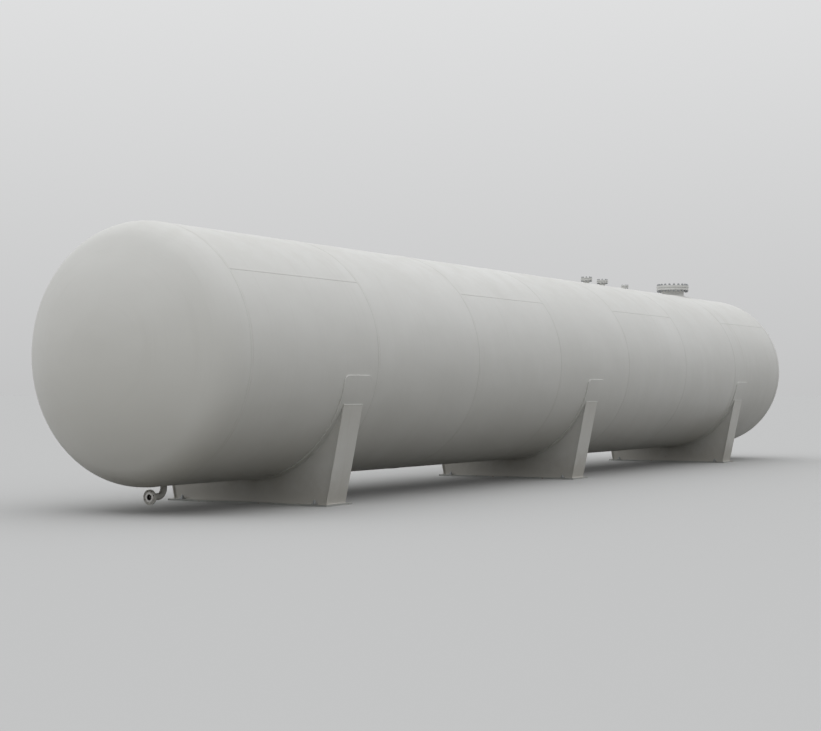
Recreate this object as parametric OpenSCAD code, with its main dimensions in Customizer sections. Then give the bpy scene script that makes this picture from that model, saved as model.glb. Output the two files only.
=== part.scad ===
// Horizontal pressure tank: a welded shell with two dished ends, lying on three saddles.
// X runs along the tank, Y across it and Z up. The origin is on the ground under its middle.

/* [Shell] */
// Outside diameter of the shell
shell_d = 3440; // [3000:10:3800]
// Thickness of the shell plates
shell_t = 20; // [12:1:32]
// Length of the shell between the two end seams
shell_length = 21000; // [19600:100:24000]
// Number of plate rings that the shell is welded from
course_count = 7; // [5:1:10]
// Height of the tank's axis above the ground
axis_height = 2060; // [2040:10:2600]

/* [Dished ends] */
// Thickness of the dished ends
end_t = 20; // [12:1:32]
// Outside radius of the shallow middle of each end
crown_r = 2752; // [2400:1:3400]
// Outside radius of the tight turn at the rim of each end
knuckle_r = 530; // [400:1:640]
// Straight collar between the rim turn and the end seam
collar_length = 40; // [20:1:80]

/* [Saddles] */
// Distance between neighbouring saddles
saddle_pitch = 8000; // [7000:10:8600]
// Width of a saddle's side plates, along the tank
side_w = 480; // [380:5:560]
// Thickness of the side plates
side_t = 16; // [10:1:25]
// Distance from the tank's middle plane to a side plate's foot
side_foot_y = 1325; // [1240:5:1380]
// Angle below the horizontal at which the side plates meet the pad
horn_angle = 20.5; // [19:0.5:26]
// Height trimmed off the side plates' thin upper ends
horn_trim = 60; // [30:5:90]
// Thickness of the two web plates
web_t = 16; // [10:1:25]
// Distance from the side plates' edges to the webs
web_inset = 25; // [10:1:50]
// Height trimmed off the webs' narrow upper corners
web_trim = 140; // [120:10:420]
// Thickness of the ribs between the webs
rib_t = 12; // [8:1:20]
// Number of ribs in a saddle
rib_count = 5; // [3:1:6]
// Distance between neighbouring ribs
rib_pitch = 430; // [360:5:460]

/* [Wear pads] */
// Thickness of the pad between shell and saddle
pad_t = 14; // [8:1:25]
// Width of the pad, along the tank
pad_w = 660; // [600:5:800]
// Angle below the horizontal at which the pad ends
pad_angle = 9; // [6:1:14]
// Radius of the pad's corners
pad_corner_r = 80; // [40:5:120]

/* [Base plates] */
// Length of a base plate, across the tank
base_l = 2760; // [2700:5:2900]
// Width of a base plate, along the tank
base_w = 640; // [620:5:760]
// Thickness of the base plates
base_t = 25; // [16:1:40]
// Diameter of the anchor holes
anchor_hole_d = 34; // [22:1:40]
// Distance between anchor holes along the tank
anchor_pitch_x = 540; // [520:2:560]
// Distance between anchor holes across the tank
anchor_pitch_y = 2300; // [1800:10:2400]
// Travel that the outer saddles' slots allow
slot_travel = 30; // [10:2:40]

/* [Manway] */
// Distance from the far end seam to the manway's middle
manway_from_seam = 2340; // [1700:10:2700]
// Outside diameter of the neck
manway_pipe_d = 508; // [450:1:560]
// Wall of the neck
manway_pipe_t = 16; // [10:1:24]
// Length of bare neck between shell and flange
manway_stand = 75; // [50:1:160]
// Diameter of the flange and the cover
manway_flange_d = 730; // [700:1:780]
// Thickness of the flange
manway_flange_t = 48; // [30:1:60]
// Diameter of the neck's thick end at the flange
manway_hub_d = 552; // [540:1:580]
// Height of flange and taper together
manway_hub_h = 110; // [95:1:140]
// Diameter of the raised sealing face
manway_face_d = 610; // [590:1:620]
// Diameter of the bolt circle
manway_bolt_circle = 660; // [652:1:666]
// Number of bolts
manway_bolts = 20; // [12:4:24]
// Diameter of the bolt holes
manway_hole_d = 36; // [26:1:38]
// Thickness of the cover
manway_cover_t = 50; // [36:1:70]
// Diameter of the doubling plate round the neck
doubler_d = 860; // [780:5:940]
// Thickness of the doubling plate
doubler_t = 16; // [10:1:25]

/* [Vapour nozzles] */
// Distance from the far end seam to the first vapour nozzle
vapour_from_seam = 7140; // [7000:10:7300]
// Distance between the two vapour nozzles
vapour_pitch = 800; // [600:10:900]
// Outside diameter of the pipe
vapour_pipe_d = 114.3; // [108:0.1:118]
// Wall of the pipe
vapour_pipe_t = 6.3; // [4:0.1:10]
// Length of bare pipe between shell and flange
vapour_stand = 34; // [20:1:80]
// Diameter of the flange and its cover
vapour_flange_d = 235; // [228:1:250]
// Thickness of the flange
vapour_flange_t = 24; // [16:1:30]
// Diameter of the neck's thick end at the flange
vapour_hub_d = 134; // [122:1:140]
// Height of flange and taper together
vapour_hub_h = 65; // [55:1:80]
// Diameter of the raised sealing face
vapour_face_d = 158; // [140:1:162]
// Diameter of the bolt circle
vapour_bolt_circle = 190; // [186:1:196]
// Number of bolts
vapour_bolts = 8; // [4:4:12]
// Diameter of the bolt holes
vapour_hole_d = 22; // [14:1:24]
// Thickness of the cover
vapour_cover_t = 24; // [16:1:36]

/* [Gauge nozzle] */
// Distance from the far end seam to the gauge nozzle
gauge_from_seam = 5140; // [4900:10:5400]
// Outside diameter of the pipe
gauge_pipe_d = 60.3; // [56:0.1:62]
// Wall of the pipe
gauge_pipe_t = 5; // [3:0.1:8]
// Length of bare pipe between shell and flange
gauge_stand = 18; // [12:1:60]
// Diameter of the flange and its cover
gauge_flange_d = 165; // [160:1:175]
// Thickness of the flange
gauge_flange_t = 20; // [14:1:26]
// Diameter of the neck's thick end at the flange
gauge_hub_d = 75; // [66:1:80]
// Height of flange and taper together
gauge_hub_h = 45; // [38:1:60]
// Diameter of the raised sealing face
gauge_face_d = 102; // [90:1:104]
// Diameter of the bolt circle
gauge_bolt_circle = 125; // [122:1:130]
// Number of bolts
gauge_bolts = 4; // [4:4:8]
// Diameter of the bolt holes
gauge_hole_d = 18; // [12:1:18]
// Thickness of the cover
gauge_cover_t = 20; // [14:1:30]

/* [Bottom outlet] */
// Distance from the near end seam to the outlet's drop pipe
outlet_from_seam = 400; // [320:10:700]
// Outside diameter of the pipe
outlet_pipe_d = 88.9; // [84:0.1:92]
// Wall of the pipe
outlet_pipe_t = 5.6; // [4:0.1:8]
// Length of straight pipe between shell and bend
outlet_drop = 24; // [10:1:30]
// Radius of the bend's centre line
outlet_bend_r = 114; // [90:1:120]
// Length of straight pipe between bend and flange
outlet_run = 120; // [90:10:500]
// Diameter of the flange
outlet_flange_d = 200; // [194:1:210]
// Thickness of the flange
outlet_flange_t = 24; // [16:1:30]
// Diameter of the neck's thick end at the flange
outlet_hub_d = 108; // [98:1:112]
// Length of flange and taper together
outlet_hub_h = 58; // [50:1:70]
// Diameter of the raised sealing face
outlet_face_d = 132; // [120:1:134]
// Diameter of the bolt circle
outlet_bolt_circle = 160; // [156:1:164]
// Number of bolts
outlet_bolts = 8; // [4:4:8]
// Diameter of the bolt holes
outlet_hole_d = 18; // [12:1:20]

/* [Fits] */
// Gap left where a curved plate lies on another
fit_gap = 0.3; // [0.2:0.05:0.8]
// Gap round a pipe where it passes through the shell
pipe_gap = 0.5; // [0.2:0.1:1.5]
// Height of a flange's raised sealing face
face_h = 2; // [1:0.5:4]
// Thickness of the gaskets
gasket_t = 3; // [1.5:0.5:5]

/* [Hidden] */
saddle_count = 3;
SADDLES = [1 : saddle_count];
COURSES = [1 : course_count];
$fn = 180;

// Paints and bare materials
WHITE = "#e9e9e5";
GREY = "#b9bab6";
DARK = "#3a3c3e";

// Radii outward from the tank's axis: inside of the plates, outside of the pads, top of the webs
inner_r = shell_r() - shell_t;
pad_r = shell_r() + fit_gap + pad_t;
seat_r = pad_r + fit_gap;

// Places along the tank
near_seam = -shell_length / 2;
far_seam = shell_length / 2;
course_length = shell_length / course_count;
manway_x = far_seam - manway_from_seam;
vapour_x1 = far_seam - vapour_from_seam;
vapour_x2 = vapour_x1 + vapour_pitch;
gauge_x = far_seam - gauge_from_seam;
outlet_x = near_seam + outlet_from_seam;

// Centres of the two arcs of an end's outline, and the direction in which they meet
knuckle_y = shell_r() - knuckle_r;
crown_back = sqrt(pow(crown_r - knuckle_r, 2) - pow(knuckle_y, 2));
meet_angle = atan2(crown_back, knuckle_y);

// A side plate's outer face leans out from its foot to the horn, seen along the tank
foot = [side_foot_y, base_t];
horn = [pad_r * cos(horn_angle), axis_height - pad_r * sin(horn_angle)];
side_lean = atan2(horn.x - foot.x, horn.y - foot.y);

// Size of each pipe connection, read by the functions below
MANWAY = [manway_pipe_d, manway_pipe_t, manway_stand, manway_flange_d, manway_flange_t, manway_hub_d,
    manway_hub_h, manway_face_d, manway_bolt_circle, manway_bolts, manway_hole_d, manway_cover_t];
VAPOUR = [vapour_pipe_d, vapour_pipe_t, vapour_stand, vapour_flange_d, vapour_flange_t, vapour_hub_d,
    vapour_hub_h, vapour_face_d, vapour_bolt_circle, vapour_bolts, vapour_hole_d, vapour_cover_t];
GAUGE = [gauge_pipe_d, gauge_pipe_t, gauge_stand, gauge_flange_d, gauge_flange_t, gauge_hub_d,
    gauge_hub_h, gauge_face_d, gauge_bolt_circle, gauge_bolts, gauge_hole_d, gauge_cover_t];
OUTLET = [outlet_pipe_d, outlet_pipe_t, outlet_run, outlet_flange_d, outlet_flange_t, outlet_hub_d,
    outlet_hub_h, outlet_face_d, outlet_bolt_circle, outlet_bolts, outlet_hole_d, 0];

function shell_r() = shell_d / 2;
function pipe_r(size) = size[0] / 2;
function bore_r(size) = size[0] / 2 - size[1];
function stand(size) = size[2];
function flange_r(size) = size[3] / 2;
function flange_t(size) = size[4];
function hub_r(size) = size[5] / 2;
function hub_h(size) = size[6];
function face_r(size) = size[7] / 2;
function bolt_circle_r(size) = size[8] / 2;
function bolt_count(size) = size[9];
function bolt_hole_r(size) = size[10] / 2;
function cover_t(size) = size[11];
function saddle_x(i) = (i - (saddle_count + 1) / 2) * saddle_pitch;

// Height of a connection's sealing face above the ground, on top of the shell
function face_z(size) = axis_height + shell_r() + stand(size) + hub_h(size);

// A solid round the tank's own axis, from the place x onward
module round_axis(x, r, length) {
    translate([x, 0, axis_height])
        rotate([0, 90, 0])
            cylinder(r = r, h = length);
}

// The holes in the shell that the pipes pass through
module pipe_holes() {
    for (fitting = [[manway_x, MANWAY], [vapour_x1, VAPOUR], [vapour_x2, VAPOUR], [gauge_x, GAUGE]])
        translate([fitting[0], 0, axis_height])
            cylinder(r = pipe_r(fitting[1]) + pipe_gap, h = shell_d);
    translate([outlet_x, 0, 0])
        cylinder(r = pipe_r(OUTLET) + pipe_gap, h = axis_height);
}

// One rolled ring of the shell
module shell_course(i) {
    start = near_seam + (i - 1) * course_length;
    color(WHITE)
        difference() {
            round_axis(start, shell_r(), course_length);
            round_axis(start - 1, inner_r, course_length + 2);
            pipe_holes();
        }
}

// Half of an end's outline: collar, tight turn and shallow middle, each end_t thick
module end_outline() {
    reach = 2 * crown_r;
    translate([shell_r() - end_t, -collar_length])
        square([end_t, collar_length]);
    intersection() {
        translate([knuckle_y, 0])
            difference() {
                circle(r = knuckle_r);
                circle(r = knuckle_r - end_t);
            }
        polygon([
            [knuckle_y, 0],
            [knuckle_y + reach, 0],
            [knuckle_y + reach * cos(meet_angle), reach * sin(meet_angle)]
        ]);
    }
    intersection() {
        translate([0, -crown_back])
            difference() {
                circle(r = crown_r);
                circle(r = crown_r - end_t);
            }
        polygon([
            [0, -crown_back],
            [reach * cos(meet_angle), -crown_back + reach * sin(meet_angle)],
            [0, -crown_back + reach]
        ]);
    }
}

// A dished end, turned so that it closes the shell on one side
module dished_end(side) {
    seam = side < 0 ? near_seam : far_seam;
    color(WHITE)
        translate([seam + side * collar_length, 0, axis_height])
            rotate([0, side * 90, 0])
                rotate_extrude()
                    end_outline();
}

// Plate laid round the belly of the shell, with round corners, that spreads the saddle's load
module wear_pad(i) {
    top = axis_height - pad_r * sin(pad_angle);
    straight = pad_w / 2 - pad_corner_r;
    color(WHITE)
        translate([saddle_x(i), 0, 0])
            intersection() {
                difference() {
                    round_axis(-pad_w / 2, pad_r, pad_w);
                    round_axis(-pad_w, shell_r() + fit_gap, 2 * pad_w);
                }
                rotate([90, 0, 0])
                    linear_extrude(height = 4 * pad_r, center = true)
                        union() {
                            translate([-pad_w / 2, 0])
                                square([pad_w, top - pad_corner_r]);
                            translate([-straight, 0])
                                square([2 * straight, top]);
                            for (side = [-1, 1])
                                translate([side * straight, top - pad_corner_r])
                                    circle(r = pad_corner_r);
                        }
            }
}

// The space between the side plates' faces, inset from the outer ones, under the pad, up to a height
module saddle_space(inset, height) {
    low = foot.x - inset / cos(side_lean);
    high = low + (height - base_t) * tan(side_lean);
    difference() {
        polygon([[-low, base_t], [low, base_t], [high, height], [-high, height]]);
        translate([0, axis_height])
            circle(r = seat_r);
    }
}

// Stands a drawing of the YZ plane up in a saddle and gives it a thickness along the tank
module across(x, thickness) {
    translate([x - thickness / 2, 0, 0])
        rotate([90, 0, 90])
            linear_extrude(height = thickness)
                children();
}

// The two upright plates that close the saddle towards both ends of the tank
module webs(i) {
    web_x = side_w / 2 - web_inset - web_t / 2;
    color(WHITE)
        for (side = [-1, 1])
            across(saddle_x(i) + side * web_x, web_t)
                saddle_space(side_t, horn.y - web_trim);
}

// The two leaning plates that close the saddle towards both sides
module side_plates(i) {
    color(WHITE)
        across(saddle_x(i), side_w)
            difference() {
                saddle_space(0, horn.y - horn_trim);
                saddle_space(side_t, horn.y);
            }
}

// Upright stiffeners between the webs, cut to the curve of the pad
module ribs(i) {
    rib_l = side_w - 2 * (web_inset + web_t);
    color(WHITE)
        translate([saddle_x(i), 0, 0])
            difference() {
                for (k = [1 : rib_count])
                    translate([-rib_l / 2, (k - (rib_count + 1) / 2) * rib_pitch - rib_t / 2, base_t])
                        cube([rib_l, rib_t, axis_height - base_t]);
                round_axis(-side_w, seat_r, 2 * side_w);
            }
}

// Foot of a saddle: round anchor holes on the middle one, slots along the tank on the others
module base_plate(i) {
    travel = saddle_x(i) == 0 ? 0 : slot_travel;
    color(GREY)
        translate([saddle_x(i), 0, 0])
            difference() {
                translate([-base_w / 2, -base_l / 2, 0])
                    cube([base_w, base_l, base_t]);
                for (x = [-1, 1], y = [-1, 1])
                    translate([x * anchor_pitch_x / 2, y * anchor_pitch_y / 2, -1])
                        anchor_slot(travel);
            }
}

// A round hole, or a slot with round ends when it has travel
module anchor_slot(travel) {
    depth = base_t + 2;
    for (side = [-1, 1])
        translate([side * travel / 2, 0, 0])
            cylinder(d = anchor_hole_d, h = depth);
    if (travel > 0)
        translate([-travel / 2, -anchor_hole_d / 2, 0])
            cube([travel, anchor_hole_d, depth]);
}

// Bolt holes of a connection, through everything between two heights
module bolt_holes(size, low, high) {
    for (k = [0 : bolt_count(size) - 1])
        rotate([0, 0, (k + 0.5) * 360 / bolt_count(size)])
            translate([bolt_circle_r(size), 0, low])
                cylinder(r = bolt_hole_r(size), h = high - low);
}

// Weld neck flange with a raised face on top, its pipe reaching down to z = below
module necked_flange(size, below) {
    top = hub_h(size);
    back = top - face_h - flange_t(size);
    difference() {
        rotate_extrude()
            polygon([
                [bore_r(size), below],
                [pipe_r(size), below],
                [pipe_r(size), 0],
                [hub_r(size), back],
                [flange_r(size), back],
                [flange_r(size), top - face_h],
                [face_r(size), top - face_h],
                [face_r(size), top],
                [bore_r(size), top]
            ]);
        bolt_holes(size, back - 1, top);
    }
}

// A flanged pipe standing on the shell, its lower end flush with the inside of the plates
module top_neck(x, size) {
    color(WHITE)
        difference() {
            translate([x, 0, face_z(size) - hub_h(size)])
                necked_flange(size, -stand(size) - shell_r() / 2);
            round_axis(x - shell_d / 2, inner_r, shell_d);
        }
}

// A blind cover with its own raised face, held off the flange by the gasket
module top_cover(x, size) {
    color(WHITE)
        translate([x, 0, face_z(size) + gasket_t])
            difference() {
                union() {
                    cylinder(r = face_r(size), h = cover_t(size));
                    translate([0, 0, face_h])
                        cylinder(r = flange_r(size), h = cover_t(size) - face_h);
                }
                bolt_holes(size, -1, cover_t(size) + 1);
            }
}

// Flat ring between the raised faces of a flange and its cover
module top_gasket(x, size) {
    color(DARK)
        translate([x, 0, face_z(size)])
            difference() {
                cylinder(r = face_r(size), h = gasket_t);
                translate([0, 0, -1])
                    cylinder(r = bore_r(size), h = gasket_t + 2);
            }
}

// Round plate bent over the shell that makes good the hole of the manway
module manway_doubler() {
    under = shell_r() + fit_gap;
    color(WHITE)
        intersection() {
            difference() {
                round_axis(manway_x - doubler_d, under + doubler_t, 2 * doubler_d);
                round_axis(manway_x - 2 * doubler_d, under, 4 * doubler_d);
            }
            translate([manway_x, 0, axis_height])
                difference() {
                    cylinder(d = doubler_d, h = shell_d);
                    translate([0, 0, -1])
                        cylinder(r = pipe_r(MANWAY) + pipe_gap, h = shell_d + 2);
                }
        }
}

// Drop pipe, bend and run of the outlet under the near end
module outlet_pipe() {
    bend_z = axis_height - shell_r() - outlet_drop;
    color(WHITE)
        difference() {
            union() {
                translate([outlet_x, 0, bend_z])
                    pipe_ring(axis_height - bend_z);
                translate([outlet_x - outlet_bend_r, 0, bend_z])
                    rotate([90, 0, 0])
                        rotate_extrude(angle = -90)
                            translate([outlet_bend_r, 0])
                                difference() {
                                    circle(r = pipe_r(OUTLET));
                                    circle(r = bore_r(OUTLET));
                                }
                translate([outlet_x - outlet_bend_r, 0, bend_z - outlet_bend_r])
                    rotate([0, -90, 0])
                        pipe_ring(outlet_run);
            }
            round_axis(outlet_x - shell_d / 2, inner_r, shell_d);
        }
}

// A length of the outlet's pipe
module pipe_ring(length) {
    difference() {
        cylinder(r = pipe_r(OUTLET), h = length);
        translate([0, 0, -1])
            cylinder(r = bore_r(OUTLET), h = length + 2);
    }
}

// Open flange at the end of the outlet, facing along the tank
module outlet_flange() {
    color(GREY)
        translate([
            outlet_x - outlet_bend_r - outlet_run,
            0,
            axis_height - shell_r() - outlet_drop - outlet_bend_r
        ])
            rotate([0, -90, 0])
                necked_flange(OUTLET, 0);
}

for (i = COURSES)
    shell_course(i);
dished_end(-1);  // head_near
dished_end(1);  // head_far
for (i = SADDLES) {
    wear_pad(i);
    webs(i);
    side_plates(i);
    ribs(i);
    base_plate(i);
}
manway_doubler();
top_neck(manway_x, MANWAY);  // manway_neck
top_gasket(manway_x, MANWAY);  // manway_gasket
top_cover(manway_x, MANWAY);  // manway_cover
top_neck(vapour_x1, VAPOUR);  // vapour_nozzle_1
top_gasket(vapour_x1, VAPOUR);  // vapour_nozzle_1_gasket
top_cover(vapour_x1, VAPOUR);  // vapour_nozzle_1_cover
top_neck(vapour_x2, VAPOUR);  // vapour_nozzle_2
top_gasket(vapour_x2, VAPOUR);  // vapour_nozzle_2_gasket
top_cover(vapour_x2, VAPOUR);  // vapour_nozzle_2_cover
top_neck(gauge_x, GAUGE);  // gauge_nozzle
top_gasket(gauge_x, GAUGE);  // gauge_nozzle_gasket
top_cover(gauge_x, GAUGE);  // gauge_nozzle_cover
outlet_pipe();
outlet_flange();
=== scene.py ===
# Horizontal pressure tank: a welded white vessel lying on three plate saddles.
# All sizes are in metres. X runs along the tank, Z is up, and the ground is at Z = 0.

import math

import bpy
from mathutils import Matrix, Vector


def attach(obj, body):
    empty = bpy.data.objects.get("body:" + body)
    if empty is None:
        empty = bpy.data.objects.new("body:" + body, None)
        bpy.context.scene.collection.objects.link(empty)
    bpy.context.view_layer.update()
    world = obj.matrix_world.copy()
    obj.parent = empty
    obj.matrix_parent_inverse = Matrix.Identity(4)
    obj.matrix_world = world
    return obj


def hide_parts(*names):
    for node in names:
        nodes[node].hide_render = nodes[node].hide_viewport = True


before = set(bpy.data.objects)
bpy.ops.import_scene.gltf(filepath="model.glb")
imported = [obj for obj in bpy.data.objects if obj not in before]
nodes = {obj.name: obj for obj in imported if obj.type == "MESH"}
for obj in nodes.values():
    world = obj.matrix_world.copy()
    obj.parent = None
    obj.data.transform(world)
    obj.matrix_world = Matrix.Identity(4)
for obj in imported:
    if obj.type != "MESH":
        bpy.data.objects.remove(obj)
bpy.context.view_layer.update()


# Feet of the saddles
# Three 25 mm plates, flame cut and coated with grey primer before they were set down.
# They lie on the ground under the saddles and have gathered dust and some rust.

SADDLES = (1, 2, 3)
PRIMER_DARK = (0.36, 0.37, 0.36, 1)
PRIMER_LIGHT = (0.47, 0.48, 0.46, 1)
PRIMER_GRAIN = 0.0001
DRY_DUST = (0.50, 0.47, 0.41, 1)
RUST = (0.24, 0.11, 0.05, 1)

# Where a Mix node has its colour sockets
MIX_UNDER, MIX_OVER, MIX_RESULT = 6, 7, 2


def feed(socket, value):
    """Joins a socket to another one, or sets it to a plain value."""
    if isinstance(value, bpy.types.NodeSocket):
        socket.id_data.links.new(value, socket)
    else:
        socket.default_value = value


def reckon(tree, operation, *values):
    """One step of arithmetic between sockets or numbers."""
    node = tree.nodes.new("ShaderNodeMath")
    node.operation = operation
    for socket, value in zip(node.inputs, values):
        feed(socket, value)
    return node.outputs[0]


def split(tree, vector):
    """The X, Y and Z of a vector."""
    node = tree.nodes.new("ShaderNodeSeparateXYZ")
    feed(node.inputs[0], vector)
    return node.outputs


def clouds(tree, position, scale, detail, roughness=0.5):
    """Soft cloudy noise between 0 and 1."""
    node = tree.nodes.new("ShaderNodeTexNoise")
    feed(node.inputs["Vector"], position)
    feed(node.inputs["Scale"], scale)
    node.inputs["Detail"].default_value = detail
    node.inputs["Roughness"].default_value = roughness
    return node.outputs["Fac"]


def between(tree, value, low, high, start=0.0, end=1.0):
    """Eases from start to end as the value goes from low to high."""
    node = tree.nodes.new("ShaderNodeMapRange")
    node.interpolation_type = "SMOOTHSTEP"
    feed(node.inputs["Value"], value)
    feed(node.inputs["From Min"], low)
    feed(node.inputs["From Max"], high)
    feed(node.inputs["To Min"], start)
    feed(node.inputs["To Max"], end)
    return node.outputs[0]


def lay_over(tree, under, over, amount):
    """One colour over another, by amount."""
    node = tree.nodes.new("ShaderNodeMix")
    node.data_type = "RGBA"
    feed(node.inputs["Factor"], amount)
    feed(node.inputs[MIX_UNDER], under)
    feed(node.inputs[MIX_OVER], over)
    return node.outputs[MIX_RESULT]


def new_effect(name, wanted, given):
    """A node group with named inputs and outputs."""
    group = bpy.data.node_groups.new(name, "ShaderNodeTree")
    for label, kind in wanted:
        group.interface.new_socket(label, in_out="INPUT", socket_type="NodeSocket" + kind)
    for label, kind in given:
        group.interface.new_socket(label, in_out="OUTPUT", socket_type="NodeSocket" + kind)
    return group, group.nodes.new("NodeGroupInput"), group.nodes.new("NodeGroupOutput")


def place_effect(tree, group, **values):
    """Puts a node group into a tree and sets its inputs."""
    node = tree.nodes.new("ShaderNodeGroup")
    node.node_tree = group
    for name, value in values.items():
        feed(node.inputs[name], value)
    return node.outputs


def new_finish(name):
    """A material, its tree, its shader, and where each point of the piece lies."""
    finish = bpy.data.materials.new(name)
    finish.use_nodes = True
    tree = finish.node_tree
    position = tree.nodes.new("ShaderNodeTexCoord").outputs["Object"]
    return finish, tree, tree.nodes["Principled BSDF"], position


def raise_surface(tree, shader, height):
    """Turns a height in metres into the shader's normal."""
    bump = tree.nodes.new("ShaderNodeBump")
    bump.inputs["Strength"].default_value = 1.0
    bump.inputs["Distance"].default_value = 1.0
    feed(bump.inputs["Height"], height)
    feed(shader.inputs["Normal"], bump.outputs["Normal"])


def facing_up(tree):
    """1 where the surface faces the sky, 0 where it is upright, less below."""
    return split(tree, tree.nodes.new("ShaderNodeNewGeometry").outputs["Normal"])["Z"]


def paint(piece, finish):
    """Gives every slot of a piece the finish."""
    for material_slot in piece.material_slots:
        material_slot.material = finish


dust, wanted, given = new_effect(
    "dust",
    [("Position", "Vector"), ("Upward", "Float"), ("Amount", "Float")],
    [("Mask", "Float")],
)
drifts = clouds(dust, wanted.outputs["Position"], 2.6, detail=5, roughness=0.6)
drifts = between(dust, drifts, 0.36, 0.66, start=0.35, end=1.0)
ledge = between(dust, wanted.outputs["Upward"], 0.35, 1.0)
settled = reckon(dust, "MULTIPLY", drifts, ledge)
feed(given.inputs["Mask"], reckon(dust, "MULTIPLY", settled, wanted.outputs["Amount"]))

rust, wanted, given = new_effect(
    "rust",
    [("Position", "Vector"), ("Scale", "Float"), ("Spread", "Float")],
    [("Mask", "Float")],
)
patches = clouds(rust, wanted.outputs["Position"], wanted.outputs["Scale"], detail=6, roughness=0.62)
edge = reckon(rust, "SUBTRACT", 0.78, reckon(rust, "MULTIPLY", wanted.outputs["Spread"], 0.3))
feed(given.inputs["Mask"], between(rust, patches, edge, reckon(rust, "ADD", edge, 0.07)))

grey_primer, tree, shader, position = new_finish("grey_primer")
tone = between(tree, clouds(tree, position, 3.0, detail=5), 0.3, 0.7)
dusty = place_effect(tree, dust, Position=position, Upward=facing_up(tree), Amount=0.75)["Mask"]
rusty = place_effect(tree, rust, Position=position, Scale=14.0, Spread=0.55)["Mask"]
colour = lay_over(tree, PRIMER_DARK, PRIMER_LIGHT, tone)
colour = lay_over(tree, colour, RUST, reckon(tree, "MULTIPLY", rusty, 0.8))
feed(shader.inputs["Base Color"], lay_over(tree, colour, DRY_DUST, dusty))
worn = reckon(tree, "ADD", rusty, dusty)
feed(shader.inputs["Roughness"], between(tree, worn, 0.0, 1.0, start=0.58, end=0.9))
grain = reckon(tree, "MULTIPLY", clouds(tree, position, 220.0, detail=2), PRIMER_GRAIN)
raise_surface(tree, shader, grain)

for number in SADDLES:
    paint(nodes["saddle_%d_base_plate" % number], grey_primer)


# Anchors
# Four 30 mm galvanised studs hold each foot down, with a plate washer and a hexagon nut on each.
# The washers are long on the outer saddles, where the stud stands in a slot so that the tank can grow.

SADDLE_X = (-8.0, 0.0, 8.0)
FOOT_TOP = 0.025
ANCHOR_REACH_X, ANCHOR_REACH_Y = 0.270, 1.150
SQUARE_WASHER = (0.074, 0.074, 0.008)
SLOT_WASHER = (0.088, 0.062, 0.012)
WASHER_ROUNDING = 0.0015
NUT_WIDTH, NUT_H = 0.046, 0.026
STUD_D, STUD_FOOT, STUD_SPARE = 0.030, 0.001, 0.022
ZINC = (0.50, 0.51, 0.52, 1)
ZINC_DULL = (0.33, 0.34, 0.35, 1)
ZINC_GRAIN = 0.00005
SHARP_ANGLE = math.radians(40)
SMOOTH_ANGLE = math.radians(35)

# Shares of a nut's width and of a stud's diameter
NUT_INSET, NUT_ROUNDING = 0.04, 0.035
STUD_INSET, STUD_CHAMFER = 0.08, 0.06


def select_only(*pieces):
    """Nothing but these pieces is selected, and the first is active."""
    bpy.ops.object.select_all(action="DESELECT")
    for piece in pieces:
        piece.select_set(True)
    bpy.context.view_layer.objects.active = pieces[0]


def start_from(primitive, **sizes):
    """Adds a primitive with everything else deselected."""
    bpy.ops.object.select_all(action="DESELECT")
    primitive(**sizes)
    return bpy.context.object


def pick(piece, test, kind="faces"):
    """In edit mode, selects only the faces, edges or vertices that pass the test."""
    bpy.ops.object.mode_set(mode="EDIT")
    bpy.ops.mesh.select_mode(type={"faces": "FACE", "edges": "EDGE", "vertices": "VERT"}[kind])
    bpy.ops.mesh.select_all(action="DESELECT")
    bpy.ops.object.mode_set(mode="OBJECT")
    mesh = piece.data
    items = {"faces": mesh.polygons, "edges": mesh.edges, "vertices": mesh.vertices}
    for item in items[kind]:
        item.select = test(item)
    bpy.ops.object.mode_set(mode="EDIT")


def is_level(face):
    """True for the faces at the two ends of an upright piece."""
    return abs(face.normal.z) > 0.9


def round_rims(piece, width, segments=2):
    """Bevels every edge where two faces meet sharply."""
    select_only(piece)
    bpy.ops.object.mode_set(mode="EDIT")
    bpy.ops.mesh.select_mode(type="EDGE")
    bpy.ops.mesh.select_all(action="DESELECT")
    bpy.ops.mesh.edges_select_sharp(sharpness=SHARP_ANGLE)
    bpy.ops.mesh.bevel(offset=width, segments=segments, affect="EDGES")
    bpy.ops.object.mode_set(mode="OBJECT")


def plate_washer(x, y, z, length, width, thickness):
    """An oblong washer lying at z, with rounded edges."""
    washer = start_from(
        bpy.ops.mesh.primitive_cube_add,
        size=1, location=(x, y, z + thickness / 2), scale=(length, width, thickness),
    )
    bpy.ops.object.transform_apply(location=False, rotation=False, scale=True)
    pick(washer, lambda edge: True, "edges")
    bpy.ops.mesh.bevel(offset=WASHER_ROUNDING, segments=2, affect="EDGES")
    bpy.ops.object.mode_set(mode="OBJECT")
    return washer


def hexagon_nut(x, y, z, width, height):
    """A nut lying at z, with its edges and corners rounded."""
    nut = start_from(
        bpy.ops.mesh.primitive_cylinder_add,
        vertices=6, radius=width / math.sqrt(3), depth=height, location=(x, y, z + height / 2),
    )
    pick(nut, is_level)
    bpy.ops.mesh.inset(thickness=width * NUT_INSET)
    bpy.ops.object.mode_set(mode="OBJECT")
    round_rims(nut, width * NUT_ROUNDING)
    return nut


def chamfered_stud(x, y, low, high, diameter):
    """An upright stud with chamfered ends."""
    stud = start_from(
        bpy.ops.mesh.primitive_cylinder_add,
        vertices=20, radius=diameter / 2, depth=high - low, location=(x, y, (low + high) / 2),
    )
    pick(stud, is_level)
    bpy.ops.mesh.inset(thickness=diameter * STUD_INSET)
    bpy.ops.object.mode_set(mode="OBJECT")
    round_rims(stud, diameter * STUD_CHAMFER, segments=1)
    return stud


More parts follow.
